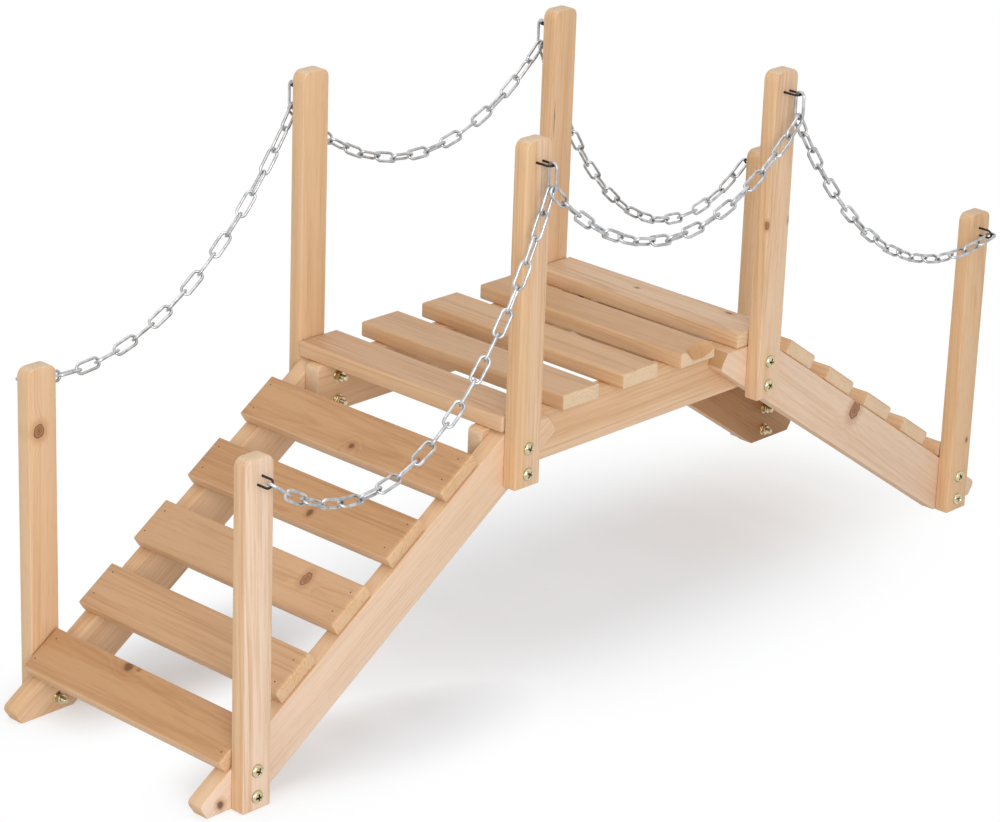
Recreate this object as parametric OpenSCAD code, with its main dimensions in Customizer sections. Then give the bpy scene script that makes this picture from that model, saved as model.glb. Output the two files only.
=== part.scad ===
// Wooden garden bridge: two ramps of treads, a level deck and a chain rail on each side.
// Millimetres, Z up. X runs along the bridge, the front side is -Y, the origin is on the
// ground under the middle of the deck. The back side is the front one turned half a turn.

/* [Layout] */
// Distance between the two deck posts of one side, centre to centre
deck_span = 476; // [400:1:700]
// Distance along the ground from an end post to its deck post
ramp_run = 462; // [380:1:600]
// Slope of a ramp in degrees
ramp_angle = 34; // [20:0.5:40]
// Height of a stringer's top edge at the middle of an end post
foot_top = 68; // [60:1:80]
// Length of a stringer below the middle of its end post, along the slope
toe_len = 88; // [70:1:100]
// Length of a stringer above the middle of its deck post, along the slope
crown_len = 45; // [35:1:60]
// Length of a deck beam past the middle of its deck post
beam_overhang = 37; // [30:1:60]
// Height of a deck beam's lower edge above the foot of a deck post
beam_lift = 3; // [0:1:8]

/* [Posts] */
// Width of a post along the bridge
post_w = 45; // [40:1:60]
// Thickness of a post across the bridge
post_t = 22; // [18:1:35]
// Length of a post
post_len = 460; // [350:5:700]
// Radius of a post's two top corners
post_top_r = 12; // [4:1:18]

/* [Stringers and beams] */
// Depth of a ramp stringer
stringer_h = 70; // [62:1:90]
// Thickness of a ramp stringer
stringer_t = 25; // [18:1:35]
// Depth of a deck beam
beam_h = 70; // [62:1:90]
// Thickness of a deck beam
beam_t = 25; // [18:1:35]
// Radius of the corners at the ends of stringers and beams
end_r = 8; // [3:1:12]

/* [Treads and planks] */
// Width of a tread or deck plank
board_w = 68; // [50:1:80]
// Thickness of a tread or deck plank
board_t = 22; // [14:1:30]
// Length of a tread or deck plank
board_len = 370; // [300:5:600]
// Radius of the eased long edges of a tread or plank
board_edge_r = 3; // [1:0.5:6]
// Distance of the outer deck planks' middles inside the middles of the deck posts
plank_inset = 8; // [0:1:20]
// Gap between the end of a board and the face of a post
board_fit = 2; // [1:0.5:5]

/* [Bolts and staples] */
// Diameter of a bolt hole
bolt_d = 8; // [5:0.5:10]
// Height of the lower bolt above the foot of a post
bolt_low = 18; // [14:1:24]
// Height of the upper bolt above the foot of a post
bolt_high = 53; // [45:1:56]
// Diameter of the wire of a chain staple
staple_wire = 3; // [2:0.5:4]
// Distance between the two legs of a staple, centre to centre
staple_w = 12; // [10:0.5:16]
// How far a staple stands out of an end post
staple_reach = 22; // [18:1:35]
// How deep a staple's legs go into the post
staple_depth = 14; // [8:1:16]
// Distance of a staple below the top of its post
staple_drop = 28; // [20:1:60]

/* [Chain] */
// Diameter of the wire of a chain link
link_wire = 4; // [3:0.5:4.5]
// Inside length of a chain link
link_pitch = 32; // [28:1:40]
// Outside width of a chain link
link_w = 17; // [16:0.5:22]
// Chain length over the straight distance, along the left ramp of the front side
left_chain_ratio = 1.17; // [1.04:0.01:1.4]
// Chain length over the straight distance, along the right ramp of the front side
right_chain_ratio = 1.06; // [1.04:0.01:1.4]
// Chain length over the straight distance, along the deck
deck_chain_ratio = 1.13; // [1.04:0.01:1.4]
// How far the middle links of a span are turned about the chain, in degrees
chain_twist = 45; // [0:5:60]

/* [Hidden] */
$fn = 48;
fir = "#d8b48d";
fir_tread = "#cf9f6d";
zinc = "#b9bcbc";
black_wire = "#2c2622";

// Play between parts that are threaded through each other, and the reach of a cutting tool
play = 0.2;
over = 1;

// Faces across the bridge: outside of the stringers, outside of the posts
stringer_face = board_len / 2 + board_fit;
post_face = stringer_face + post_t;

// Stations along the bridge and heights of the deck
deck_post_x = deck_span / 2;
end_post_x = deck_post_x + ramp_run;
deck_post_z = foot_top + ramp_run * tan(ramp_angle) - stringer_h / cos(ramp_angle);
deck_top = deck_post_z + beam_lift + beam_h;
slope_run = ramp_run / cos(ramp_angle);
stringer_len = toe_len + slope_run + crown_len;
tread_pitch = slope_run / 5;
plank_pitch = (deck_span - 2 * plank_inset) / 4;
beam_len = deck_span + 2 * beam_overhang;
cut_size = 2 * (end_post_x + toe_len);

// Centre line radius of a staple's bend and of a link's ends
staple_r = staple_w / 2;
link_r = (link_w - link_wire) / 2;
link_straight = link_pitch + play - (link_w - 2 * link_wire);

// Two chain spans share each deck staple's link side by side, and bear on the inside of its bend
side_step = (link_wire + play) / 2;
bar_inset = (staple_wire + play) / 2;
ramp_chain_y = post_face + staple_reach - staple_wire / 2;
hanger_y = ramp_chain_y + side_step;
deck_chain_y = hanger_y + side_step;
end_bar_z = post_len - staple_drop;
deck_bar_z = deck_post_z + end_bar_z;
hanger_z = deck_bar_z + bar_inset - link_pitch / 2;
bearing_y = side_step + 0.3 * link_wire;
saddle_z = hanger_z - link_straight / 2 - sqrt(link_r * link_r - bearing_y * bearing_y);
saddle_inset = link_wire / 2 + play;

// Links in each span: an even count from an end staple, an odd one between deck staples
ramp_chord = norm([ramp_run, saddle_z - end_bar_z]);
links_left = 2 * ceil(ramp_chord * left_chain_ratio / link_pitch / 2);
links_right = 2 * ceil(ramp_chord * right_chain_ratio / link_pitch / 2);
links_deck = 2 * floor(deck_span * deck_chain_ratio / link_pitch / 2) + 1;

// A hanging chain of equal links: the tangent of each link's slope grows by the same step.
// mean and step are found by halving so that the links end at the wanted run and rise.
function total(v) = [for (x = v) 1] * v;
function slopes(n, mean, step) = [for (i = [0 : n - 1]) mean + step * (i - (n - 1) / 2)];
function run_of(lengths, t) = total([for (i = [0 : len(t) - 1]) lengths[i] / sqrt(1 + t[i] * t[i])]);
function rise_of(lengths, t) = total([for (i = [0 : len(t) - 1]) lengths[i] * t[i] / sqrt(1 + t[i] * t[i])]);
function mean_for(lengths, rise, step, low = -30, high = 30, turn = 0) =
  let (mid = (low + high) / 2)
  turn == 36 ? mid
  : rise_of(lengths, slopes(len(lengths), mid, step)) < rise
    ? mean_for(lengths, rise, step, mid, high, turn + 1)
    : mean_for(lengths, rise, step, low, mid, turn + 1);
function hang(lengths, run, rise, low = 0, high = 2, turn = 0) =
  let (
    step = (low + high) / 2,
    t = slopes(len(lengths), mean_for(lengths, rise, step), step)
  )
  turn == 36 ? [for (x = t) atan(x)]
  : run_of(lengths, t) > run
    ? hang(lengths, run, rise, step, high, turn + 1)
    : hang(lengths, run, rise, low, step, turn + 1);

// Lengths from pin to pin: the first and last links lose what they reach round their pins
function span_lengths(n, first_inset, last_inset) =
  [for (i = [0 : n - 1]) link_pitch - (i == 0 ? first_inset : 0) - (i == n - 1 ? last_inset : 0)];

// Angles of the links of a ramp span, from the end staple up to the deck staple's link
function ramp_span(n) = hang(span_lengths(n, bar_inset, saddle_inset), ramp_run, saddle_z - end_bar_z);

// Angle of the link on an end staple, which the staple's bend stands square to
function end_link_angle(n) = ramp_span(n)[0];

// A side profile in X and Z, given its thickness across the bridge
module across(thickness) {
  rotate([90, 0, 0])
    linear_extrude(thickness, center = true)
      children();
}

// Rectangle from the origin with round corners
module rounded_rectangle(length, height, r) {
  translate([r, 0])
    square([length - 2 * r, height]);
  translate([0, r])
    square([length, height - 2 * r]);
  for (x = [r, length - r], z = [r, height - r])
    translate([x, z])
      circle(r);
}

// Holes through the timbers for the two bolts of a post whose foot is at the origin
module bolt_holes(length) {
  for (z = [bolt_low, bolt_high])
    translate([0, 0, z])
      rotate([90, 0, 0])
        cylinder(d = bolt_d, h = length, center = true);
}

// Staple turned about the axis that it is driven along, with its legs in the post
module staple_shape(reach, twist) {
  leg_out = reach - staple_r - staple_wire / 2;
  rotate([0, -twist, 0]) {
    for (x = [-staple_r, staple_r])
      translate([x, staple_depth, 0])
        rotate([90, 0, 0])
          cylinder(d = staple_wire, h = staple_depth + leg_out);
    translate([0, -leg_out, 0])
      rotate([0, 0, 180])
        rotate_extrude(angle = 180)
          translate([staple_r, 0])
            circle(d = staple_wire);
  }
}

module staple_holes(twist) {
  rotate([0, -twist, 0])
    for (x = [-staple_r, staple_r])
      translate([x, -over, 0])
        rotate([-90, 0, 0])
          cylinder(d = staple_wire + play, h = staple_depth + play + over);
}

// Post with round top corners, foot at the given station and height on the front side
module front_post(x, z, twist) {
  color(fir)
    translate([x, -stringer_face - post_t / 2, z])
      difference() {
        across(post_t)
          translate([-post_w / 2, 0])
            union() {
              square([post_w, post_len - post_top_r]);
              rounded_rectangle(post_w, post_len, post_top_r);
            }
        bolt_holes(post_t + 2 * over);
        translate([0, -post_t / 2, post_len - staple_drop])
          staple_holes(twist);
      }
}

module front_staple(x, z, reach, twist) {
  color(black_wire)
    translate([x, -post_face, z + post_len - staple_drop])
      staple_shape(reach, twist);
}

// Left stringer of the front side: a board on the slope, cut level at the ground and under the deck
module front_stringer() {
  color(fir)
    translate([0, -stringer_face + stringer_t / 2, 0])
      difference() {
        across(stringer_t)
          intersection() {
            translate([-end_post_x, foot_top])
              rotate(ramp_angle)
                translate([-toe_len, -stringer_h])
                  rounded_rectangle(stringer_len, stringer_h, end_r);
            translate([-cut_size, 0])
              square([cut_size, deck_top]);
          }
        translate([-end_post_x, 0, 0])
          bolt_holes(stringer_t + 2 * over);
        translate([-deck_post_x, 0, deck_post_z])
          bolt_holes(stringer_t + 2 * over);
      }
}

module front_beam() {
  color(fir)
    translate([0, -stringer_face + stringer_t + beam_t / 2, 0])
      difference() {
        across(beam_t)
          translate([-beam_len / 2, deck_top - beam_h])
            rounded_rectangle(beam_len, beam_h, end_r);
        for (x = [-deck_post_x, deck_post_x])
          translate([x, 0, deck_post_z])
            bolt_holes(beam_t + 2 * over);
      }
}

// Board lying on Z = 0 across the bridge, with eased long edges
module board() {
  across(board_len)
    translate([-board_w / 2, 0])
      rounded_rectangle(board_w, board_t, board_edge_r);
}

// Treads are counted from the ground up
module left_tread(k) {
  color(fir_tread)
    translate([-end_post_x, 0, foot_top])
      rotate([0, -ramp_angle, 0])
        translate([(k - 1) * tread_pitch, 0, 0])
          board();
}

// Planks are counted from the left
module deck_plank(k) {
  color(fir)
    translate([(k - 3) * plank_pitch, 0, deck_top])
      board();
}

// Chain link along X with its flat in X and Z
module link() {
  for (z = [-link_r, link_r])
    translate([0, 0, z])
      rotate([0, 90, 0])
        cylinder(d = link_wire, h = link_straight, center = true);
  for (turn = [0, 180])
    rotate([0, turn, 0])
      translate([link_straight / 2, 0, 0])
        rotate([90, 0, 0])
          rotate([0, 0, -90])
            rotate_extrude(angle = 180)
              translate([link_r, 0])
                circle(d = link_wire);
}

// Links hung one in the next from the origin, every second one turned a quarter turn.
// The span is square to its staples at both ends and twists towards its middle.
module chain_span(lengths, angles, first_roll) {
  steps = [for (i = [0 : len(angles) - 1]) lengths[i] * [cos(angles[i]), 0, sin(angles[i])]];
  for (i = [0 : len(angles) - 1]) {
    along = [cos(angles[i]), 0, sin(angles[i])];
    from = total([for (j = [0 : i]) steps[j]]);
    middle = i == len(angles) - 1 ? from - along * (lengths[i] - link_pitch / 2) : from - along * link_pitch / 2;
    twist = chain_twist * sin(180 * i / (len(angles) - 1));
    translate(middle)
      rotate([0, -angles[i], 0])
        rotate([first_roll + 90 * (i % 2) + twist, 0, 0])
          link();
  }
}

// Chain up the left ramp of the front side
module front_ramp_chain(n) {
  color(zinc)
    translate([-end_post_x, -ramp_chain_y, end_bar_z])
      chain_span(span_lengths(n, bar_inset, saddle_inset), ramp_span(n), 90);
}

// Chain between the deck posts of the front side, with the links that hang on the staples
module front_deck_chain() {
  lengths = span_lengths(links_deck, saddle_inset, saddle_inset);
  color(zinc) {
    translate([-deck_post_x, -deck_chain_y, saddle_z])
      chain_span(lengths, hang(lengths, deck_span, 0), 0);
    for (x = [-deck_post_x, deck_post_x])
      translate([x, -hanger_y, hanger_z])
        rotate([0, 0, 90])
          rotate([0, 90, 0])
            link();
  }
}

// Left ramp made into the right one, and the front side made into the back one
module to_right() {
  mirror([1, 0, 0])
    children();
}

module to_back() {
  rotate([0, 0, 180])
    children();
}

module end_post(n) {
  front_post(-end_post_x, 0, 90 + end_link_angle(n));
}

module deck_post() {
  front_post(-deck_post_x, deck_post_z, 0);
}

module end_staple(n) {
  front_staple(-end_post_x, 0, staple_reach, 90 + end_link_angle(n));
}

module deck_staple() {
  front_staple(-deck_post_x, deck_post_z, staple_reach + side_step, 0);
}

end_post(links_left);  // front_left_end_post
deck_post();  // front_left_deck_post
to_right() deck_post();  // front_right_deck_post
to_right() end_post(links_right);  // front_right_end_post
to_back() to_right() end_post(links_right);  // back_left_end_post
to_back() to_right() deck_post();  // back_left_deck_post
to_back() deck_post();  // back_right_deck_post
to_back() end_post(links_left);  // back_right_end_post
front_stringer();  // front_left_stringer
to_right() front_stringer();  // front_right_stringer
to_back() to_right() front_stringer();  // back_left_stringer
to_back() front_stringer();  // back_right_stringer
front_beam();  // front_deck_beam
to_back() front_beam();  // back_deck_beam
left_tread(1);  // left_tread_1
left_tread(2);  // left_tread_2
left_tread(3);  // left_tread_3
left_tread(4);  // left_tread_4
left_tread(5);  // left_tread_5
deck_plank(1);  // deck_plank_1
deck_plank(2);  // deck_plank_2
deck_plank(3);  // deck_plank_3
deck_plank(4);  // deck_plank_4
deck_plank(5);  // deck_plank_5
to_right() left_tread(1);  // right_tread_1
to_right() left_tread(2);  // right_tread_2
to_right() left_tread(3);  // right_tread_3
to_right() left_tread(4);  // right_tread_4
to_right() left_tread(5);  // right_tread_5
end_staple(links_left);  // front_left_end_staple
deck_staple();  // front_left_deck_staple
to_right() deck_staple();  // front_right_deck_staple
to_right() end_staple(links_right);  // front_right_end_staple
to_back() to_right() end_staple(links_right);  // back_left_end_staple
to_back() to_right() deck_staple();  // back_left_deck_staple
to_back() deck_staple();  // back_right_deck_staple
to_back() end_staple(links_left);  // back_right_end_staple
front_ramp_chain(links_left);  // front_chain_left
front_deck_chain();  // front_chain_deck
to_right() front_ramp_chain(links_right);  // front_chain_right
to_back() to_right() front_ramp_chain(links_right);  // back_chain_left
to_back() front_deck_chain();  // back_chain_deck
to_back() front_ramp_chain(links_left);  // back_chain_right
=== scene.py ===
"""Wooden garden bridge: bare fir boards, zinc chain, black staples and yellow zinc bolts on a white floor."""
import math

import bmesh
import bpy
import mathutils
import numpy as np
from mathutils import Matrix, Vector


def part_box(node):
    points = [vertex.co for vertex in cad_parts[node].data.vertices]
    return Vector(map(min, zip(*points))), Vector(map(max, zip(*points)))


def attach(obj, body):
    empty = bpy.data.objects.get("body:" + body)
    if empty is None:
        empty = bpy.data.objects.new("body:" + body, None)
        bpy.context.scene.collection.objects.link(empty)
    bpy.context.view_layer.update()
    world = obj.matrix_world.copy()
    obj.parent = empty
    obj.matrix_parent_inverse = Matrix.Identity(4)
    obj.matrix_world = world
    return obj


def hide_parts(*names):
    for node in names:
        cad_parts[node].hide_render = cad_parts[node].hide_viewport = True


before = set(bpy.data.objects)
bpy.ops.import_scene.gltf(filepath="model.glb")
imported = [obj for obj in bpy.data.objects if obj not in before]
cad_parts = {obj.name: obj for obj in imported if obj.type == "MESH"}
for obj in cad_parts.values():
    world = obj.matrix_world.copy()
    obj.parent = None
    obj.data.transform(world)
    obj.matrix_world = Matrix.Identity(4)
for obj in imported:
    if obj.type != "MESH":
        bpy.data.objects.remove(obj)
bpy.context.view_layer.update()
RNG = np.random.default_rng(7)

# Sizes in metres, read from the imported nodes
MM, TINY = 0.001, 1e-6


def corners(node):
    """Lowest and highest corner of a node as arrays."""
    low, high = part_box(node)
    return np.array(low), np.array(high)


POST_LOW, POST_HIGH = corners("front_left_end_post")
DECK_POST_LOW, DECK_POST_HIGH = corners("front_left_deck_post")
BEAM_LOW, BEAM_HIGH = corners("front_deck_beam")
PLANK_LOW, PLANK_HIGH = corners("deck_plank_3")
STRINGER_LOW, STRINGER_HIGH = corners("front_left_stringer")
POST_W = POST_HIGH[0] - POST_LOW[0]
POST_T = POST_HIGH[1] - POST_LOW[1]
POST_LEN = POST_HIGH[2] - POST_LOW[2]
POST_ROUND, POST_FOOT_ROUND = 12 * MM, 2.2 * MM
STRINGER_T = STRINGER_HIGH[1] - STRINGER_LOW[1]
BEAM_T = BEAM_HIGH[1] - BEAM_LOW[1]
BEAM_H = BEAM_HIGH[2] - BEAM_LOW[2]
BOARD_W = PLANK_HIGH[0] - PLANK_LOW[0]
BOARD_T = PLANK_HIGH[2] - PLANK_LOW[2]
BOARD_LEN = PLANK_HIGH[1] - PLANK_LOW[1]
DECK_Z = PLANK_LOW[2]
END_X = -(POST_LOW[0] + POST_HIGH[0]) / 2
DECK_X = -(DECK_POST_LOW[0] + DECK_POST_HIGH[0]) / 2
DECK_FOOT = DECK_POST_LOW[2]
STRINGER_FACE = -POST_HIGH[1]
POST_FACE = -POST_LOW[1]
EASE, TREAD_EASE, PLANK_EASE = 2.0 * MM, 4.5 * MM, 3 * MM
BOLT_HEIGHTS = (18 * MM, 53 * MM)

# The slope follows from the lowest and highest treads of a ramp
TREAD_1 = np.mean(corners("left_tread_1"), axis=0)
TREAD_5 = np.mean(corners("left_tread_5"), axis=0)
RAMP_ANGLE = math.atan2(TREAD_5[2] - TREAD_1[2], TREAD_5[0] - TREAD_1[0])
COS, SIN = math.cos(RAMP_ANGLE), math.sin(RAMP_ANGLE)
FOOT_TOP = TREAD_1[2] - BOARD_T / 2 * COS
TOE_LEN, CROWN_LEN, STRINGER_H, END_ROUND = 88 * MM, 45 * MM, 70 * MM, 8 * MM


# Shader maths

class Value:
    """A socket that takes part in sums: each operator adds one Math node to the same material."""

    def __init__(self, finish, socket):
        self.finish, self.socket = finish, socket

    def _math(self, operation, *terms):
        return self.finish.node("ShaderNodeMath", {"operation": operation}, *terms)

    def __add__(self, other): return self._math("ADD", self, other)
    def __radd__(self, other): return self._math("ADD", other, self)
    def __sub__(self, other): return self._math("SUBTRACT", self, other)
    def __rsub__(self, other): return self._math("SUBTRACT", other, self)
    def __mul__(self, other): return self._math("MULTIPLY", self, other)
    def __rmul__(self, other): return self._math("MULTIPLY", other, self)
    def __truediv__(self, other): return self._math("DIVIDE", self, other)
    def __rtruediv__(self, other): return self._math("DIVIDE", other, self)
    def __pow__(self, other): return self._math("POWER", self, other)
    def __neg__(self): return self._math("MULTIPLY", self, -1.0)

    def abs(self): return self._math("ABSOLUTE", self)
    def least(self, other): return self._math("MINIMUM", self, other)
    def most(self, other): return self._math("MAXIMUM", self, other)
    def clamp(self): return self.finish.node("ShaderNodeClamp", {}, self)

    def step(self, low, high):
        """Smooth step: 0 below low, 1 above high."""
        settings = {"interpolation_type": "SMOOTHSTEP"}
        return self.finish.node("ShaderNodeMapRange", settings, self, low, high, 0.0, 1.0)


class Finish:
    """A material or world being written: node() adds any node, the rest are short names for common ones."""

    def __init__(self, owner):
        self.material = bpy.data.materials.new(owner) if isinstance(owner, str) else owner
        self.material.use_nodes = True
        self.tree = self.material.node_tree
        self.tree.nodes.clear()

    def node(self, kind, settings, *inputs, out=0, **named):
        """Adds a node, sets its settings, then its sockets by place or by name, and gives one output."""
        made = self.tree.nodes.new(kind)
        for key, value in settings.items():
            if key == "stops":
                ramp = made.color_ramp
                while len(ramp.elements) < len(value):
                    ramp.elements.new(1.0)
                for element, (place, colour) in zip(ramp.elements, value):
                    element.position, element.color = place, (*colour, 1.0)
            else:
                setattr(made, key, value)
        places = list(enumerate(inputs)) + [(name.replace("_", " "), value) for name, value in named.items()]
        for place, value in places:
            socket = made.inputs[place]
            if isinstance(value, Value):
                self.tree.links.new(value.socket, socket)
            else:
                socket.default_value = value
        return Value(self, made.outputs[out]) if made.outputs else None

    def attribute(self, name, out="Fac"):
        return self.node("ShaderNodeAttribute", {"attribute_name": name}, out=out)

    def split(self, vector):
        made = self.node("ShaderNodeSeparateXYZ", {}, vector)
        return [Value(self, socket) for socket in made.socket.node.outputs]

    def join(self, x, y, z):
        return self.node("ShaderNodeCombineXYZ", {}, x, y, z)

    def noise(self, vector, scale, detail=2.0, roughness=0.5):
        return self.node("ShaderNodeTexNoise", {}, Vector=vector, Scale=scale, Detail=detail,
                         Roughness=roughness)

    def mix(self, amount, first, second):
        """Colour between two colours. The Mix node's colour sockets are its seventh and eighth."""
        node = self.node("ShaderNodeMix", {"data_type": "RGBA"}, amount).socket.node
        for socket, value in ((node.inputs[6], first), (node.inputs[7], second)):
            if isinstance(value, Value):
                self.tree.links.new(value.socket, socket)
            else:
                socket.default_value = (*value, 1.0)
        return Value(self, node.outputs[2])

    def ramp(self, value, stops):
        return self.node("ShaderNodeValToRGB", {"stops": stops}, value)

    def bump(self, height, strength, distance):
        return self.node("ShaderNodeBump", {}, Height=height, Strength=strength, Distance=distance)

    def surface(self, **sockets):
        """Principled surface whose sockets take numbers, colours or links."""
        shader = self.node("ShaderNodeBsdfPrincipled", {}, **sockets)
        self.node("ShaderNodeOutputMaterial", {}, shader)
        return self.material


# Colours of fir: two pale grounds and a warm one, late wood on pale and on warm boards, light patches
HONEY, CREAM, TAN = (0.760, 0.490, 0.270), (0.830, 0.635, 0.490), (0.560, 0.305, 0.140)
LATE_PALE, LATE_WARM = (0.560, 0.300, 0.130), (0.385, 0.175, 0.068)
LIGHT_PALE, LIGHT_WARM = (0.820, 0.640, 0.480), (0.640, 0.415, 0.235)
# The split colour is also painted shade: deck plank 4's dark line where it meets plank 5
FIBRE_BROWN, PORE_BROWN, SPLIT_AND_SHADE_BROWN = (0.36, 0.19, 0.09), (0.36, 0.20, 0.10), (0.085, 0.040, 0.020)
# The brown of end grain is painted shade on the stringers' cut ends
END_PALE, END_RING, END_SHADE_BROWN = (0.820, 0.665, 0.480), (0.560, 0.350, 0.180), (0.440, 0.235, 0.085)
HALO_RED, DARK_HALO, DARK_KNOT = (0.46, 0.215, 0.085), (0.40, 0.170, 0.060), (0.150, 0.062, 0.026)
EYE_STOPS = [(0.0, (0.170, 0.075, 0.034)), (0.25, (0.370, 0.180, 0.085)), (0.45, (0.280, 0.125, 0.055)),
             (0.70, (0.430, 0.225, 0.105)), (0.90, (0.140, 0.060, 0.028))]
RING_SPACING = 5.2 * MM


def fir_finish():
    """Bare fir: rings about the pith of each board, fibres along it, knots, and a colour of its own.

    The board's own coordinates come with its mesh: grain is the place from its pith, knot_a to knot_c
    the place from each knot over the knot's size, and crack the place from a split over its size, which on
    deck plank 4 is a painted shade line. So do its tint, warmth, paler edge, end grain and figure, which
    wood_piece describes; the tint and warmth of a board's sides are painted light, and brown end grain is
    painted shade.
    """
    f = Finish("fir")
    grain = f.attribute("grain", "Vector")
    along, across, deep = f.split(grain)
    ends = f.attribute("ends")
    # Some boards are paler along one edge: sapwood on the posts, and the front deck beam is paler towards its
    # lower edge
    wave = (f.noise(f.join(along * 5.0, 0.0, 0.0), 1.0, 2.0) - 0.5) * 1.5
    sap = 1.0 - (f.attribute("sap") + wave).step(0.0, 1.0)
    tint, warm = f.attribute("tint").most(sap * 0.42), f.attribute("warm") * (1.0 - sap)
    # The nearest knot pushes the rings aside and darkens what is in it
    wobble = f.noise(grain, 170.0, 2.0) - 0.5
    aways = []
    for name in ("knot_a", "knot_b", "knot_c"):
        kx, ky, kz = f.split(f.attribute(name, "Vector"))
        aways.append((kx * kx + ky * ky + kz * kz) ** 0.5 + wobble * 0.55)
    far, dark_far = aways[0].least(aways[1]), aways[2]
    push = (1.0 - (far.least(dark_far) / 5.0).clamp()) ** 2.0
    # Rings: distance from the pith, bent by slow noise, each one fading in and ending sharply
    slow = f.noise(f.join(along * 1.7, across * 11.0, deep * 11.0), 1.0, 2.0) - 0.5
    medium = f.noise(f.join(along * 6.0, across * 40.0, deep * 40.0), 1.0, 2.0) - 0.5
    radius = (across * across + deep * deep) ** 0.5 + slow * 0.016 + medium * 0.0028 + push * 0.016
    turn = radius * (1.0 / RING_SPACING)
    saw = turn - f.node("ShaderNodeMath", {"operation": "FLOOR"}, turn)
    ring = saw ** 2.0 * (1.0 - saw.step(0.86, 1.0))
    weight = f.noise(f.join(along * 0.5, radius * 75.0, 3.0), 1.0, 1.0).step(0.36, 0.72)
    late = ring * (0.12 + 0.88 * weight)
    # Fibres and streaks, drawn out along the board
    fibre = f.noise(f.join(along * 24.0, across * 950.0, deep * 950.0), 1.0, 3.0, 0.6)
    streak = f.noise(f.join(along * 3.5, across * 210.0, deep * 210.0), 1.0, 3.0, 0.6)
    broad = f.noise(f.join(along * 1.6, across * 38.0, deep * 38.0), 1.0, 2.0)
    cloud = f.noise(f.join(along * 4.0, across * 9.0, deep * 9.0), 1.0, 2.0)
    pale = f.mix(warm, f.mix(tint, HONEY, CREAM), TAN)
    shade = (late * 0.6 + (streak - 0.48) * 1.6 + (broad - 0.5) * 0.95) * f.attribute("figure")
    colour = f.mix(shade.clamp(), pale, f.mix(warm, LATE_PALE, LATE_WARM))
    light = ((0.5 - broad) * 1.2 + (cloud - 0.5) * 0.8).clamp()
    colour = f.mix(light * 0.6, colour, f.mix(warm, LIGHT_PALE, LIGHT_WARM))
    colour = f.mix((fibre - 0.54).clamp() * 1.3, colour, FIBRE_BROWN)
    # End grain is paler with open pores. Where ends is below zero it is brown: painted shade on the
    # stringers' cut ends
    pores = f.noise(grain, 900.0, 1.0).step(0.56, 0.70)
    colour = f.mix(ends.clamp() * 0.6, colour, f.mix(late * 0.4, END_PALE, END_RING))
    colour = f.mix((-ends).clamp() * 0.75, colour, END_SHADE_BROWN)
    colour = f.mix(ends.abs() * pores * 0.4, colour, PORE_BROWN)
    # Knots: a red-brown halo, a dark rim, a brown eye with its own rings
    halo = 1.0 - far.step(0.95, 2.4)
    colour = f.mix(halo * 0.5, colour, HALO_RED)
    knot = 1.0 - far.step(0.86, 1.08)
    colour = f.mix(knot, colour, f.ramp(far, EYE_STOPS))
    # The third knot of a board is a dark one without an eye, soft at its rim
    colour = f.mix((1.0 - dark_far.step(0.8, 2.2)) * 0.45, colour, DARK_HALO)
    colour = f.mix((1.0 - dark_far.step(0.45, 1.15)) * 0.9, colour, DARK_KNOT)
    # Splits along the grain; on deck plank 4 the dark line is painted shade along its edge next to plank 5
    cx, cy, _ = f.split(f.attribute("crack", "Vector"))
    split = (1.0 - (cy + wobble * 1.6).abs() - cx * cx).step(0.0, 0.35)
    colour = f.mix(split * 0.85, colour, SPLIT_AND_SHADE_BROWN)
    rough = 0.50 + (fibre - 0.5) * 0.28 - late * 0.06 + ends.abs() * 0.2
    height = late * 0.35 + fibre * 0.55 + streak * 0.3 - knot * 0.3 - split * 2.0
    return f.surface(Base_Color=colour, Roughness=rough, Specular_IOR_Level=0.36,
                     Normal=f.bump(height, 0.30, 0.0006))


def zinc_finish():
    """Bright zinc on drawn wire: near white metal with faint cloudy patches and fine scratches."""
    f = Finish("chain_zinc")
    place = f.node("ShaderNodeTexCoord", {}, out=3)
    cloud = f.noise(place, 90.0, 3.0)
    fine = f.noise(place, 900.0, 2.0)
    colour = f.mix(cloud.step(0.35, 0.65), (0.40, 0.41, 0.42), (0.60, 0.61, 0.62))
    rough = 0.26 + cloud * 0.16 + (fine - 0.5) * 0.1
    return f.surface(Base_Color=colour, Roughness=rough, Metallic=1.0, Normal=f.bump(fine, 0.12, 0.0003))


def staple_finish():
    """Black oxide wire with rubbed brown patches."""
    f = Finish("staple_wire")
    place = f.node("ShaderNodeTexCoord", {}, out=3)
    rub = f.noise(place, 240.0, 3.0)
    colour = f.mix(rub.step(0.55, 0.75), (0.020, 0.019, 0.018), (0.085, 0.062, 0.045))
    return f.surface(Base_Color=colour, Roughness=0.38 + rub * 0.2, Metallic=0.55,
                     Normal=f.bump(rub, 0.15, 0.0003))


def bolt_finish():
    """Yellow zinc: pale brassy metal that shifts towards green and red, with painted shade in the recess of a
    head.
    """
    f = Finish("yellow_zinc")
    place = f.node("ShaderNodeTexCoord", {}, out=3)
    shift = f.noise(place, 130.0, 2.0)
    green, brass, red = (0.42, 0.38, 0.20), (0.66, 0.60, 0.41), (0.60, 0.45, 0.29)
    colour = f.ramp(shift, [(0.32, green), (0.5, brass), (0.68, red)])
    # Painted shade: the recess of a head is darkened by its depth
    colour = f.mix(f.attribute("deep"), colour, (0.150, 0.120, 0.070))
    return f.surface(Base_Color=colour, Roughness=0.14 + shift * 0.14, Metallic=1.0,
                     Normal=f.bump(f.noise(place, 1200.0, 2.0), 0.1, 0.0002))


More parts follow.
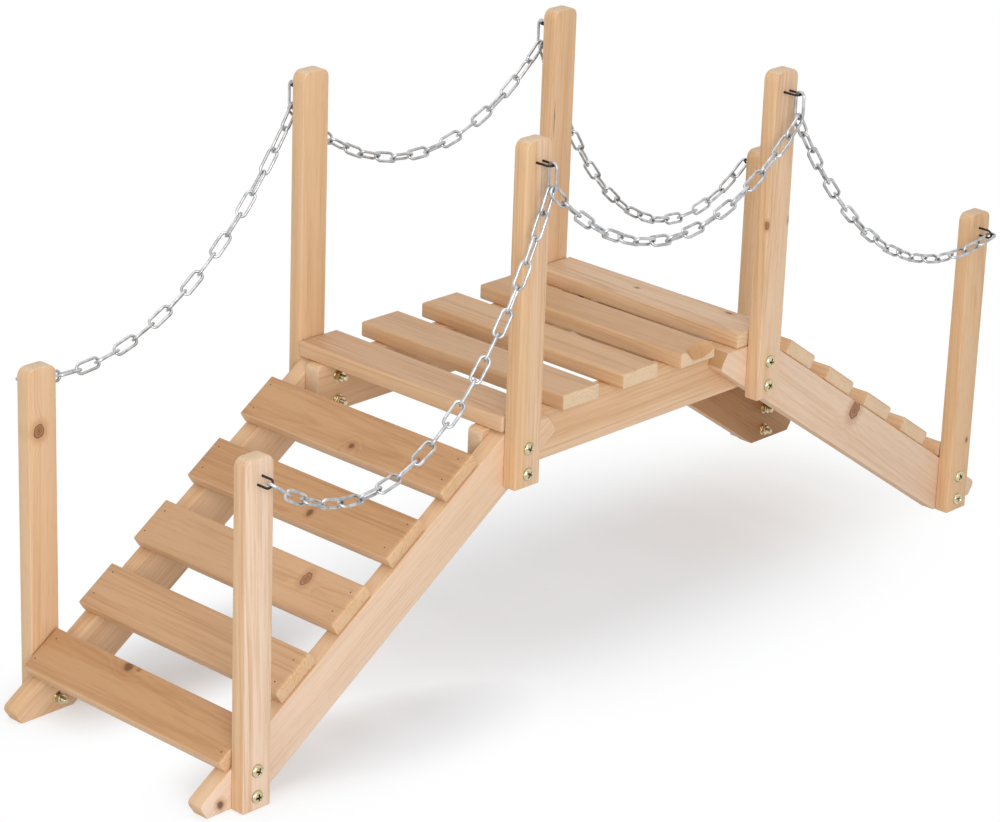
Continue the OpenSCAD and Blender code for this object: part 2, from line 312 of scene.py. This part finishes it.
def nail_finish():
    """Dull dark steel nail heads sunk in the wood."""
    f = Finish("nail_steel")
    place = f.node("ShaderNodeTexCoord", {}, out=3)
    rust = f.noise(place, 700.0, 3.0)
    colour = f.mix(rust.step(0.4, 0.7), (0.10, 0.06, 0.04), (0.20, 0.10, 0.05))
    return f.surface(Base_Color=colour, Roughness=0.5 + rust * 0.2, Metallic=0.4)


FIR, ZINC, STAPLE, BOLT, NAIL = (
    fir_finish(), zinc_finish(), staple_finish(), bolt_finish(), nail_finish())


# Meshes

def put_mesh(name, points, faces, material, smooth=True, attributes=None):
    """Object at the origin from an array of points and a list of faces, with its point attributes."""
    mesh = bpy.data.meshes.new(name)
    mesh.from_pydata(points.tolist(), [], faces)
    for key, values in (attributes or {}).items():
        values = np.asarray(values, float)
        kind = "FLOAT_VECTOR" if values.ndim == 2 else "FLOAT"
        layer = mesh.attributes.new(key, kind, "POINT")
        layer.data.foreach_set("vector" if values.ndim == 2 else "value", values.astype(np.float32).ravel())
    mesh.materials.append(material)
    mesh.polygons.foreach_set("use_smooth", np.full(len(mesh.polygons), smooth))
    mesh.update()
    piece = bpy.data.objects.new(name, mesh)
    bpy.context.scene.collection.objects.link(piece)
    return piece


def grid_faces(rows, columns):
    """Quads of a grid of points, rows by columns, closed round the columns."""
    r = np.arange(rows - 1)[:, None] * columns
    c = np.arange(columns)[None, :]
    n = (c + 1) % columns
    return np.stack([r + c, r + n, r + columns + n, r + columns + c], -1).reshape(-1, 4).tolist()


def rounded_outline(corner_points, radii, arc=7, spacing=0.012):
    """Closed outline through the corners, each rounded by its radius: short arcs joined by straight runs
    with a point every so often, so that an edge can be worn along its length."""
    pts = np.asarray(corner_points, float)
    loop, normals = [], []
    count = len(pts)
    for i in range(count):
        before, here, after = pts[i - 1], pts[i], pts[(i + 1) % count]
        a = (before - here) / np.linalg.norm(before - here)
        b = (after - here) / np.linalg.norm(after - here)
        half = math.acos(np.clip(a @ b, -1, 1)) / 2
        r = radii[i]
        centre = here + (a + b) / np.linalg.norm(a + b) * r / math.sin(half)
        start = here + a * r / math.tan(half) - centre
        end = here + b * r / math.tan(half) - centre
        a0, a1 = math.atan2(start[1], start[0]), math.atan2(end[1], end[0])
        a1 = a0 + (a1 - a0 + math.pi) % (2 * math.pi) - math.pi
        t = np.linspace(a0, a1, arc)
        ring = np.stack([np.cos(t), np.sin(t)], -1)
        loop.append(centre + r * ring)
        normals.append(ring)
    full, full_n = [], []
    for i in range(count):
        full.append(loop[i])
        full_n.append(normals[i])
        p, q = loop[i][-1], loop[(i + 1) % count][0]
        steps = max(int(np.linalg.norm(q - p) / spacing), 1)
        s = (np.arange(1, steps) / steps)[:, None]
        full.append(p + (q - p) * s)
        full_n.append(np.repeat(normals[i][-1][None], steps - 1, 0))
    return np.concatenate(full), np.concatenate(full_n)


def slab(outline, normals, thickness, ease, arc=4):
    """Flat board: the outline carried through its thickness by a profile of rings.

    Ring j stands ease * (1 - sin a) inside the outline and ease * (1 - cos a) inside the face, with a
    from 0 at the face to a quarter turn at the side. Each face is closed by one polygon. Gives points,
    faces, the outline's normals, which rings are on the side, and how deep each point is worn.
    """
    angle = np.linspace(0, math.pi / 2, arc)
    rings, wall = [], []
    for sign, order in ((-1, angle), (1, angle[::-1])):
        for a in order:
            flat = outline - normals * ease * (1 - math.sin(a))
            level = sign * (thickness / 2 - ease * (1 - math.cos(a)))
            rings.append(np.column_stack([flat, np.full(len(flat), level)]))
            wall.append(a > math.pi / 4)
    points = np.concatenate(rings)
    count = len(outline)
    faces = grid_faces(len(rings), count)
    faces.append(list(range(count))[::-1])
    faces.append(list(range((len(rings) - 1) * count, len(rings) * count)))
    return points, faces, normals, wall, np.zeros(len(points))


def wane_depth(inward, across, wane):
    """Depth of a wane at the end of a board: deepest at the end, less inwards and to both sides.

    Depth = most * side * (1 - inward / (reach * side)), not below 0. side rises from 0 to 1 over the steep
    flank, and loses 0.6 of the square of the way along the gentle one. wane is the most, the reach, then the
    places across the board where the steep flank starts and ends and where the gentle one starts and ends.
    """
    most, reach, start, low, crest, end = wane
    t = np.clip((across - start) / (low - start), 0, 1)
    s = np.clip((across - crest) / (end - crest), 0, 1)
    side = t * t * (3 - 2 * t) * (1 - 0.6 * s * s)
    return most * side * np.clip(1 - inward / (reach * side + TINY), 0, 1)


# Where the rings of a board's face lie, as shares of the way from its eased edge to its middle line
FACE_SHARES = np.array([0.1, 0.22, 0.38, 0.6, 1.0])
BOARD_CORNER = 0.8 * MM


def ringed_board(length, width, thickness, ease, arc=4, wane=None):
    """Board as nested rectangles: ring d inside the outline is the outline clipped to a rectangle that is
    d smaller all round, so the rings close on the middle line of each face.

    The first rings turn the eased edge, as in slab. The top is lowered by the wane where the board has one.
    """
    half, w = length / 2, width / 2
    outline, normals = rounded_outline([(-half, -w), (half, -w), (half, w), (-half, w)], [BOARD_CORNER] * 4,
                                       arc=3, spacing=4 * MM)
    angle = np.linspace(0, math.pi / 2, arc)
    insets = np.concatenate([ease * (1 - np.cos(angle)), ease + (w - ease) * FACE_SHARES])
    drops = np.concatenate([ease * (1 - np.sin(angle)), np.zeros(len(FACE_SHARES))])
    turned_down = np.concatenate([angle < math.pi / 4, np.zeros(len(FACE_SHARES), bool)])
    rings, wall, worn = [], [], []
    for sign in (-1, 1):
        face, depths = [], []
        for inset, drop in zip(insets, drops):
            flat = np.clip(outline, [-(half - inset), -(w - inset)], [half - inset, w - inset])
            sunk = np.zeros(len(flat))
            if sign > 0 and wane is not None:
                sunk = wane_depth(half - flat[:, 0], flat[:, 1], wane)
            face.append(np.column_stack([flat, sign * (thickness / 2 - np.maximum(sunk, drop))]))
            depths.append(sunk)
        order = slice(None, None, sign)
        rings += face[order]
        worn += depths[order]
        wall += list(turned_down)[order]
    return np.concatenate(rings), grid_faces(len(rings), len(outline)), normals, wall, np.concatenate(worn)


# A spot and a paler edge that are off every board
FAR_SPOT, NO_SAP = (9.0, 9.0, 9.0, 0.5, 0.5, 0.5), (-9.0, 1.0)
# Painted light: the tint and warmth of a board's edges over those of its faces, warmer and less pale
# than the faces; and warmth for each metre of wane
PAINTED_SIDE_TINT, PAINTED_SIDE_WARMTH, WORN_WARMTH = 0.25, 0.2, 60.0
END_ZONE = 120 * MM
SHARP_TIMBER, SHARP_METAL = math.radians(30), math.radians(35)


def from_spot(points, spot):
    """Places from a spot's middle over its half sizes."""
    middle, half = np.split(np.array(spot), 2)
    return (points - middle) / half


def wood_piece(name, node, shape, axes, origin, grain_along, tint=0.5, warm=0.0, knots=(), dark_knot=None,
               crack=None, sap=NO_SAP, ends=(1.0, 1.0), figure=1.0):
    """Board in its own plane, turned by axes and moved to origin, with its grain written on its points.

    shape is what slab or ringed_board gives. grain_along is 0 where the fibres run along the outline's first
    axis and 1 along its second. A knot or crack is its place, then its half sizes, in metres: a knot on the
    outline's two axes and through the board, a crack along the fibres, across them and through the board; on
    deck plank 4 the crack is a painted shade line. A board has up to two knots with an eye and one dark knot.
    The pith is a line beside the board, tilted a little. tint is one number, or two for the board's two ends.
    The edges of a board are painted less pale and warmer than its faces: painted light. sap is where a paler
    edge ends across the board and how wide that change is, below zero where the paler edge is on the far
    side:
    sapwood on the posts, and on the front deck beam paler towards its lower edge. ends is the look of the end
    grain at each end, 1 pale and -1 brown, the brown being painted shade on the stringers' cut ends.
    figure is how strongly rings and streaks show.
    """
    points, faces, normals, wall, worn = shape
    along, across = points[:, grain_along], points[:, 1 - grain_along]
    pith = RNG.uniform(-0.03, 0.03), RNG.choice([-1, 1]) * RNG.uniform(0.012, 0.05)
    tilt = RNG.uniform(-0.03, 0.03), RNG.uniform(-0.05, 0.05)
    grain = np.column_stack([along + RNG.uniform(0, 20), across - pith[0] - along * tilt[0],
                             points[:, 2] - pith[1] - along * tilt[1]])
    middle, half = (along.max() + along.min()) / 2, (along.max() - along.min()) / 2
    near_end = np.abs(along - middle) > half - END_ZONE
    facing = np.tile(np.abs(normals[:, grain_along]) > 0.75, len(wall)) & near_end
    inside = np.repeat(wall, len(normals))
    first, last = np.broadcast_to(tint, 2)
    tint = first + (last - first) * (along - middle + half) / (2 * half)
    # Painted light: the sides of a board are painted warmer and less pale than its faces
    layers = {"grain": grain, "tint": np.where(inside, tint * PAINTED_SIDE_TINT, tint),
              "warm": np.minimum(warm * np.where(inside, PAINTED_SIDE_WARMTH, 1.0) + worn * WORN_WARMTH, 1.0),
              "sap": (across - sap[0]) / sap[1], "figure": np.full(len(points), figure),
              "ends": (facing & inside) * np.where(along > middle, ends[1], ends[0])}
    for layer, spot in zip(("knot_a", "knot_b"), list(knots) + [FAR_SPOT] * 2):
        layers[layer] = from_spot(points, spot)
    layers["knot_c"] = from_spot(points, dark_knot or FAR_SPOT)
    layers["crack"] = from_spot(points[:, [grain_along, 1 - grain_along, 2]], crack or FAR_SPOT)
    placed = points @ np.asarray(axes, float) + np.asarray(origin, float)
    piece = put_mesh(name, placed, faces, FIR, attributes=layers)
    welded = bmesh.new()
    welded.from_mesh(piece.data)
    bmesh.ops.remove_doubles(welded, verts=welded.verts, dist=TINY)
    welded.to_mesh(piece.data)
    welded.free()
    piece.data.set_sharp_from_angle(angle=SHARP_TIMBER)
    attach(piece, "root")
    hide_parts(node)
    return piece


X, Y, Z = np.eye(3)


def post(node, **looks):
    """Post: upright rectangle with round top corners, faces across the bridge."""
    low, high = corners(node)
    w, h = POST_W / 2, POST_LEN
    outline, normals = rounded_outline([(-w, 0), (w, 0), (w, h), (-w, h)],
                                       [POST_FOOT_ROUND, POST_FOOT_ROUND, POST_ROUND, POST_ROUND])
    origin = ((low[0] + high[0]) / 2, (low[1] + high[1]) / 2, low[2])
    shape = slab(outline, normals, POST_T, EASE)
    return wood_piece("fir_" + node, node, shape, (X, Z, -Y), origin, 1, **looks)


def stringer(node, flip, **looks):
    """Ramp stringer: a board on the slope cut level at the ground and under the deck.

    Its outline is in slope coordinates: u along the slope from the end post's middle, w up from the top
    edge. flip is 1 on the left ramp and -1 on the right one, which is its mirror image.
    """
    low, high = corners(node)
    h, end = STRINGER_H, (END_X - DECK_X) / COS + CROWN_LEN
    ground_u, deck_u = (h * COS - FOOT_TOP) / SIN, (DECK_Z - FOOT_TOP) / SIN
    toe_w, crown_w = (TOE_LEN * SIN - FOOT_TOP) / COS, (DECK_Z - FOOT_TOP - end * SIN) / COS
    outline, normals = rounded_outline(
        [(-TOE_LEN, toe_w), (ground_u, -h), (end, -h), (end, crown_w), (deck_u, 0), (-TOE_LEN, 0)],
        [3 * MM, 2 * MM, END_ROUND, 2 * MM, 2 * MM, END_ROUND])
    axes = (X * COS * flip + Z * SIN, -X * SIN * flip + Z * COS, -Y * flip)
    origin = (-END_X * flip, (low[1] + high[1]) / 2, FOOT_TOP)
    shape = slab(outline, normals, STRINGER_T, EASE)
    # Painted shade: the stringers' cut ends are brown, fully at the upper end under the deck, a little at the
    # toe
    return wood_piece("fir_" + node, node, shape, axes, origin, 0, ends=(-0.3, -1.0), **looks)


def beam(node, **looks):
    """Deck beam: straight board with round end corners."""
    low, high = corners(node)
    half, h = (high[0] - low[0]) / 2, BEAM_H
    outline, normals = rounded_outline([(-half, 0), (half, 0), (half, h), (-half, h)], [END_ROUND] * 4)
    origin = (0.0, (low[1] + high[1]) / 2, low[2])
    shape = slab(outline, normals, BEAM_T, EASE)
    return wood_piece("fir_" + node, node, shape, (X, Z, -Y), origin, 0, **looks)


def board(node, slope, ease=TREAD_EASE, wane=None, **looks):
    """Tread or plank: a board across the bridge with eased edges, lying on a slope."""
    middle = np.mean(corners(node), axis=0)
    c, s = math.cos(slope), math.sin(slope)
    axes = (-Y, X * c + Z * s, -X * s + Z * c)
    shape = ringed_board(BOARD_LEN, BOARD_W, BOARD_T, ease, wane=wane)
    return wood_piece("fir_" + node, node, shape, axes, middle, 0, **looks)


# Bolts, nuts and nails

def turned(profile, sides, radius_of=None):
    """Surface of revolution about +Z from (radius, height) pairs, closed at both ends by a polygon.

    radius_of(angle, height) scales each radius where the piece isn't round, as on a hexagon or a thread.
    """
    profile = np.asarray(profile, float)
    turn = np.arange(sides) * 2 * math.pi / sides
    radius = np.repeat(profile[:, :1], sides, 1)
    if radius_of is not None:
        radius = radius * radius_of(turn[None, :], profile[:, 1:])
    points = np.stack([radius * np.cos(turn), radius * np.sin(turn), np.repeat(profile[:, 1:], sides, 1)], -1)
    faces = grid_faces(len(profile), sides)
    faces.append(list(range(sides))[::-1])
    faces.append(list(range((len(profile) - 1) * sides, len(profile) * sides)))
    return points.reshape(-1, 3), faces


HEAD_R, HEAD_H, HEAD_SIDES = 8.8 * MM, 5.0 * MM, 64
SLOT_W, SLOT_R, SLOT_DEPTH, SLOT_SLANT = 2.8 * MM, 5.2 * MM, 3.2 * MM, 0.4 * MM
SHANK_R = 3.9 * MM
NUT_FLAT, NUT_H = 13 * MM, 6.5 * MM
WASHER_R, WASHER_T = 8.8 * MM, 1.5 * MM
THREAD_PITCH, THREAD_OUT = 1.25 * MM, 7 * MM


def bolt_head():
    """Pan head as a height over a polar grid: a flat dome, less a cross-shaped recess that narrows as it
    goes down. Height = H * (1 - (r / R) ** 3) ** 0.45 - recess. Gives the recess over its depth too, for the
    painted shade in it."""
    r = np.concatenate([np.linspace(0.0, 0.72, 19), np.linspace(0.76, 1.0, 9)])[:, None] * HEAD_R
    t = (np.arange(HEAD_SIDES) * 2 * math.pi / HEAD_SIDES)[None, :]
    x, y = r * np.cos(t), r * np.sin(t)
    height = HEAD_H * (1 - (r / HEAD_R) ** 3).clip(0) ** 0.45 + 0 * t
    arm = np.minimum(np.abs(x), np.abs(y))
    reach = np.maximum(np.abs(x), np.abs(y))
    side = np.clip((SLOT_W / 2 - arm) / SLOT_SLANT, 0, 1)
    end = np.clip((SLOT_R - reach) / (4 * SLOT_SLANT), 0, 1)
    points = np.stack([x, y, height - SLOT_DEPTH * side * end], -1).reshape(-1, 3)
    return points, grid_faces(len(r), HEAD_SIDES), (side * end).ravel()


def hexagon(turn, height):
    """Radius of a hexagon over its flat's: 1 / cos of the angle from the middle of the nearest flat."""
    away = (turn + math.pi / 6) % (math.pi / 3) - math.pi / 6
    return 1 / np.cos(away) + 0 * height


def thread(turn, height):
    """Radius of a screw thread over its crest's: a saw wave that climbs one pitch a turn."""
    wave = (height / THREAD_PITCH - turn / (2 * math.pi)) % 1.0
    return 1 - 0.11 * np.abs(2 * wave - 1)


def nut_with_end():
    """Washer, chamfered hex nut and the bolt's threaded end, one on the other, heights from the wood."""
    flat, chamfer, rim = NUT_FLAT / 2, 0.7 * MM, 0.3 * MM
    washer = turned([(SHANK_R, 0), (WASHER_R - rim, 0), (WASHER_R, rim), (WASHER_R, WASHER_T - rim),
                     (WASHER_R - rim, WASHER_T), (SHANK_R, WASHER_T)], 40)
    low, high = WASHER_T, WASHER_T + NUT_H
    nut = turned([(SHANK_R, low), (flat * 0.93, low), (flat, low + chamfer), (flat, high - chamfer),
                  (flat * 0.93, high), (SHANK_R, high)], 48, hexagon)
    rise = np.arange(0, THREAD_OUT, THREAD_PITCH / 6)
    tip = (SHANK_R * 0.8, high + THREAD_OUT + 0.6 * MM)
    screw = turned([(SHANK_R, high + z) for z in rise] + [tip], 32, thread)
    return merged([washer, nut, screw])


def merged(shapes):
    """One array of points and one list of faces from several shapes."""
    points, faces, start = [], [], 0
    for p, f in shapes:
        points.append(p)
        faces += [[i + start for i in face] for face in f]
        start += len(p)
    return np.concatenate(points), faces


def turned_to(shape, outward, spin, place):
    """Shape about +Z turned by spin, stood up along +Y or -Y, and moved to a place."""
    points, faces = shape
    c, s = math.cos(spin), math.sin(spin)
    points = points @ np.array([[c, s, 0], [-s, c, 0], [0, 0, 1]])
    return points @ np.array([X, -Z * outward, Y * outward]) + np.asarray(place), faces


def fastening(node):
    """The two bolts of a post: heads on its outside, nuts on the innermost timber."""
    low, high = corners(node)
    side = 1 if low[1] > 0 else -1
    x = (low[0] + high[0]) / 2
    at_deck = low[2] > DECK_FOOT / 2
    inner = STRINGER_FACE - STRINGER_T - (BEAM_T if at_deck else 0)
    shapes, deep = [], []
    for rise in BOLT_HEIGHTS:
        z = low[2] + rise
        *head, recess = bolt_head()
        shapes.append(turned_to(head, side, RNG.uniform(0, math.pi / 2), (x, side * POST_FACE, z)))
        shapes.append(turned_to(nut_with_end(), -side, RNG.uniform(0, math.pi / 3), (x, side * inner, z)))
        # deep carries each head's recess, where painted shade darkens it, and 0 on the nuts
        deep += [recess, np.zeros(len(shapes[-1][0]))]
    points, faces = merged(shapes)
    layers = {"deep": np.concatenate(deep)}
    piece = put_mesh("bolts_" + node.replace("_post", ""), points, faces, BOLT, attributes=layers)
    piece.data.set_sharp_from_angle(angle=SHARP_METAL)
    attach(piece, "root")


NAIL_R, NAIL_H, NAIL_SUNK = 1.3 * MM, 0.35 * MM, 0.1 * MM
NAIL_RINGS, NAIL_SIDES = 5, 12


def nails():
    """Round nail heads set in the treads over the stringers: height = H * sqrt(1 - (r / R) ** 2) - sunk."""
    r = np.linspace(0, 1, NAIL_RINGS)[:, None]
    t = (np.arange(NAIL_SIDES) * 2 * math.pi / NAIL_SIDES)[None, :]
    height = NAIL_H * np.sqrt(1 - r ** 2) - NAIL_SUNK
    dome = np.stack([r * NAIL_R * np.cos(t), r * NAIL_R * np.sin(t), height + 0 * t], -1).reshape(-1, 3)
    faces = grid_faces(NAIL_RINGS, NAIL_SIDES)
    shapes = []
    for ramp, flip in (("left", 1), ("right", -1)):
        for k in range(1, 6):
            middle = np.mean(corners(f"{ramp}_tread_{k}"), axis=0)
            slope = np.array([COS, 0, SIN * flip])
            normal = np.array([-SIN * flip, 0, COS])
            for end in (-1, 1):
                for across in (-1, 1):
                    off = np.array([0, end * (BOARD_LEN / 2 - RNG.uniform(9, 16) * MM), 0])
                    place = middle + off + slope * across * RNG.uniform(15, 22) * MM + normal * BOARD_T / 2
                    shapes.append((dome @ np.array([slope, Y, normal]) + place, faces))
    points, faces = merged(shapes)
    piece = put_mesh("nail_heads", points, faces, NAIL)
    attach(piece, "root")


# Dressing the frame. Knots and cracks are millimetres from each board's own middle or foot.

def mm(*values):
    """Millimetres as metres."""
    return tuple(v * MM for v in values)


THROUGH = 1000
KNOTS = {
    "left_tread_1": [mm(-21, 29, 0, 3, 2.5, THROUGH)],
    "left_tread_3": [mm(101, 10, 0, 6.5, 10.5, THROUGH)],
    "left_tread_5": [mm(119, -6, 0, 4, 7, THROUGH)],
    "back_left_end_post": [mm(-6, 377, 0, 8.5, 9.5, THROUGH)],
    "front_right_deck_post": [mm(-23, 250, 10, 4, 6, 4), mm(22, 250, 11, 3, 5, 8)],
    "front_right_stringer": [mm(275, -11, 0, 10.5, 14.5, THROUGH)],
    "deck_plank_5": [mm(-31, 5, 10, 4, 2.5, 8)],
}
DARK_KNOTS = {
    "left_tread_1": mm(-38, 27, 0, 9, 8, THROUGH),
    "left_tread_4": mm(32, -17, 0, 5.5, 7, THROUGH),
    "left_tread_5": mm(13, -19, 0, 5, 5, THROUGH),
    "front_right_end_post": mm(12, 108, 0, 3, 4, THROUGH),
    "front_left_stringer": mm(-64, -24, 12, 6, 7, 5),
    "deck_plank_5": mm(122, 22, 10, 7, 3, 8),
}
CRACKS_AND_EDGE_SHADE = {
    "back_right_deck_post": mm(305, -16, 0, 32, 0.9, THROUGH),
    # Painted shade: deck plank 4's dark line along its edge next to plank 5, where the planks meet
    "deck_plank_4": mm(148, 31, 0, 24, 0.8, THROUGH),
}
# Wane: depth, reach inwards, then where its steep flank and its gentle flank start and end
WANES = {"deck_plank_4": mm(17.5, 17, -27, -5, 8, 38)}
# Paler edge: where it ends across the board, how wide the change is. Sapwood on the posts; the front deck
# beam is paler towards its lower edge
PALE_EDGES = {"front_left_deck_post": mm(-2, -9), "front_right_deck_post": mm(-13, -8),
        "front_deck_beam": mm(12, 11)}
# Tint is 0 for honey and 1 for cream boards, warmth 1 for tan ones
POST_TINTS = {"front_left_end": 0.85, "front_left_deck": 0.1, "front_right_deck": 0.3, "front_right_end": 0.1,
              "back_left_end": 0.15, "back_left_deck": 0.1, "back_right_deck": 0.15, "back_right_end": 0.2}
STRINGER_TINTS = {"front_left": (1.0, 0.45), "front_right": 0.8, "back_left": 0.3, "back_right": 0.0}
# The back right stringer is tan: partly its own darker wood, partly painted shade and warm bounce from under
# the deck
STRINGER_WOOD_AND_SHADE_WARMTHS = {"back_right": 1.0}
STRINGER_FIGURES = {"front_left": 0.5, "front_right": 0.6}
BEAM_TINT, BEAM_WARMTHS = 0.2, {"front_deck_beam": 0.15, "back_deck_beam": 0.2}
TREAD_TINT = 0.3
TREAD_WARMTHS = {"left": (0.95, 0.62, 0.66, 0.95, 0.90), "right": (0.5,) * 5}
TREAD_ENDS = {"left": (0.1, 0.1), "right": (0.9, 0.9)}
PLANK_WARMTHS = (0.60, 0.50, 0.38, 0.65, 0.15)
PLANK_TINTS = (0.5, 0.4, 0.2, 0.3, 0.5)


def spots(node):
    """Knots, dark knot, crack and paler edge of a board; the crack of deck plank 4 is a painted shade line.
    """
    return {"knots": KNOTS.get(node, ()), "dark_knot": DARK_KNOTS.get(node), "crack": CRACKS_AND_EDGE_SHADE.get(node),
            "sap": PALE_EDGES.get(node, NO_SAP)}


for where, tint in POST_TINTS.items():
    post(where + "_post", tint=tint, **spots(where + "_post"))
    fastening(where + "_post")
for where, tint in STRINGER_TINTS.items():
    node = where + "_stringer"
    stringer(node, 1 if "left" in where else -1, tint=tint, warm=STRINGER_WOOD_AND_SHADE_WARMTHS.get(where, 0.0),
             figure=STRINGER_FIGURES.get(where, 1.0), **spots(node))
for node, warm in BEAM_WARMTHS.items():
    beam(node, tint=BEAM_TINT, warm=warm, **spots(node))
for k in range(5):
    for ramp, slope in (("left", RAMP_ANGLE), ("right", -RAMP_ANGLE)):
        node = f"{ramp}_tread_{k + 1}"
        board(node, slope, tint=TREAD_TINT, warm=TREAD_WARMTHS[ramp][k], ends=TREAD_ENDS[ramp], **spots(node))
    node = f"deck_plank_{k + 1}"
    board(node, 0.0, ease=PLANK_EASE, wane=WANES.get(node), tint=PLANK_TINTS[k], warm=PLANK_WARMTHS[k],
          **spots(node))
nails()
for name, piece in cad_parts.items():
    finish = ZINC if "chain" in name else STAPLE if "staple" in name else None
    if finish is not None:
        piece.data.materials.clear()
        piece.data.materials.append(finish)


# Floor, light and camera

WHITE = (1, 1, 1, 1)
FLOOR_MATT, FLOOR_BOUNCE, FLOOR_GLOW = (0.90, 0.95, 1.0, 1), (0.84, 0.84, 0.84, 1), 0.16
FLOOR_HALF = 30.0
# Where the floor shows shadow: middle and half sizes of the ovals under the deck and at the left feet
DECK_SHADE, FOOT_SHADE = (0.10, 0.0, 0.58, 0.32), (-0.46, 0.17, 0.34, 0.12)
WORLD_LIGHT = 0.53


def shown(f):
    """1 for rays that show the background: the camera's, and those that metal and glass reflect or pass."""
    path = f.node("ShaderNodeLightPath", {}).socket.node.outputs
    camera, glossy, through = (Value(f, path[f"Is {kind} Ray"])
                               for kind in ("Camera", "Glossy", "Transmission"))
    return camera.most(glossy).most(through)


def oval(x, y, shade):
    """Distance from an oval's middle over its half sizes."""
    middle_x, middle_y, half_x, half_y = shade
    x, y = (x - middle_x) / half_x, (y - middle_y) / half_y
    return (x * x + y * y) ** 0.5


def floor_finish():
    """White floor that keeps the shadow: matt white with a little light of its own under the deck and at the
    left feet, plain white away from them, and grey for the light that bounces back up."""
    f = Finish("white_floor")
    x, y, _ = f.split(f.node("ShaderNodeTexCoord", {}, out=3))
    away = oval(x, y, DECK_SHADE).least(oval(x, y.abs(), FOOT_SHADE)).step(0.3, 1.3)
    matt = f.node("ShaderNodeBsdfDiffuse", {}, Color=FLOOR_MATT)
    glow = f.node("ShaderNodeEmission", {}, Color=WHITE, Strength=FLOOR_GLOW)
    white = f.node("ShaderNodeEmission", {}, Color=WHITE, Strength=1.0)
    grey = f.node("ShaderNodeBsdfDiffuse", {}, Color=FLOOR_BOUNCE)
    seen = f.node("ShaderNodeMixShader", {}, away, f.node("ShaderNodeAddShader", {}, matt, glow), white)
    f.node("ShaderNodeOutputMaterial", {}, f.node("ShaderNodeMixShader", {}, shown(f), grey, seen))
    return f.material


def studio_world():
    """Even light all round, shown white to the camera and to reflections."""
    world = bpy.data.worlds.new("studio")
    bpy.context.scene.world = world
    f = Finish(world)
    lit = f.node("ShaderNodeBackground", {}, Color=WHITE, Strength=WORLD_LIGHT)
    white = f.node("ShaderNodeBackground", {}, Color=WHITE, Strength=1.0)
    f.node("ShaderNodeOutputWorld", {}, f.node("ShaderNodeMixShader", {}, shown(f), lit, white))


floor_points = np.array([(-1.0, -1.0, 0.0), (1.0, -1.0, 0.0), (1.0, 1.0, 0.0), (-1.0, 1.0, 0.0)]) * FLOOR_HALF
floor = put_mesh("floor", floor_points, [(0, 1, 2, 3)], floor_finish(), smooth=False)
studio_world()


def soft_box(name, place, aim, size, power):
    """Square area lamp at a place, facing a point."""
    lamp = bpy.data.lights.new(name, "AREA")
    lamp.shape, lamp.size, lamp.energy = "SQUARE", size, power
    thing = bpy.data.objects.new(name, lamp)
    bpy.context.scene.collection.objects.link(thing)
    thing.location = place
    forward = np.asarray(aim, float) - np.asarray(place, float)
    thing.rotation_euler = mathutils.Vector(forward).to_track_quat("-Z", "Y").to_euler()


soft_box("top_light", (-0.7, 0.1, 3.0), (0, 0, 0.2), 1.8, 16.0)
soft_box("key_light", (-2.6, -4.0, 1.9), (0, 0, 0.4), 2.6, 104.0)
soft_box("low_light", (-3.4, -0.9, 0.45), (0, 0, 0.3), 1.4, 11.0)

CAMERA_PLACE = np.array([-3.36776, -3.07006, 2.04990])
CAMERA_AIM = np.array([0.0, 0.07493, 0.25583])
CAMERA_ROLL = math.radians(2.024)
FOCAL_PX, CENTRE_X, CENTRE_Y = 3617.6, 494.15, 409.85
IMAGE_W, IMAGE_H, SENSOR = 1000, 822, 36.0


def photo_camera():
    """Camera at the photograph's place: its axes are the view's right, up and backward directions."""
    forward = (CAMERA_AIM - CAMERA_PLACE) / np.linalg.norm(CAMERA_AIM - CAMERA_PLACE)
    right = np.cross(forward, Z)
    right /= np.linalg.norm(right)
    up = np.cross(right, forward)
    c, s = math.cos(CAMERA_ROLL), math.sin(CAMERA_ROLL)
    right, up = right * c + up * s, up * c - right * s
    turn = mathutils.Matrix(np.column_stack([right, up, -forward]).tolist()).to_4x4()
    data = bpy.data.cameras.new("photo_camera")
    data.sensor_width, data.lens = SENSOR, FOCAL_PX * SENSOR / IMAGE_W
    data.shift_x = (IMAGE_W / 2 - CENTRE_X) / IMAGE_W
    data.shift_y = (CENTRE_Y - IMAGE_H / 2) / IMAGE_W
    thing = bpy.data.objects.new("photo_camera", data)
    bpy.context.scene.collection.objects.link(thing)
    thing.matrix_world = mathutils.Matrix.Translation(CAMERA_PLACE.tolist()) @ turn
    bpy.context.scene.camera = thing


photo_camera()
bpy.context.scene.view_settings.view_transform = "Standard"
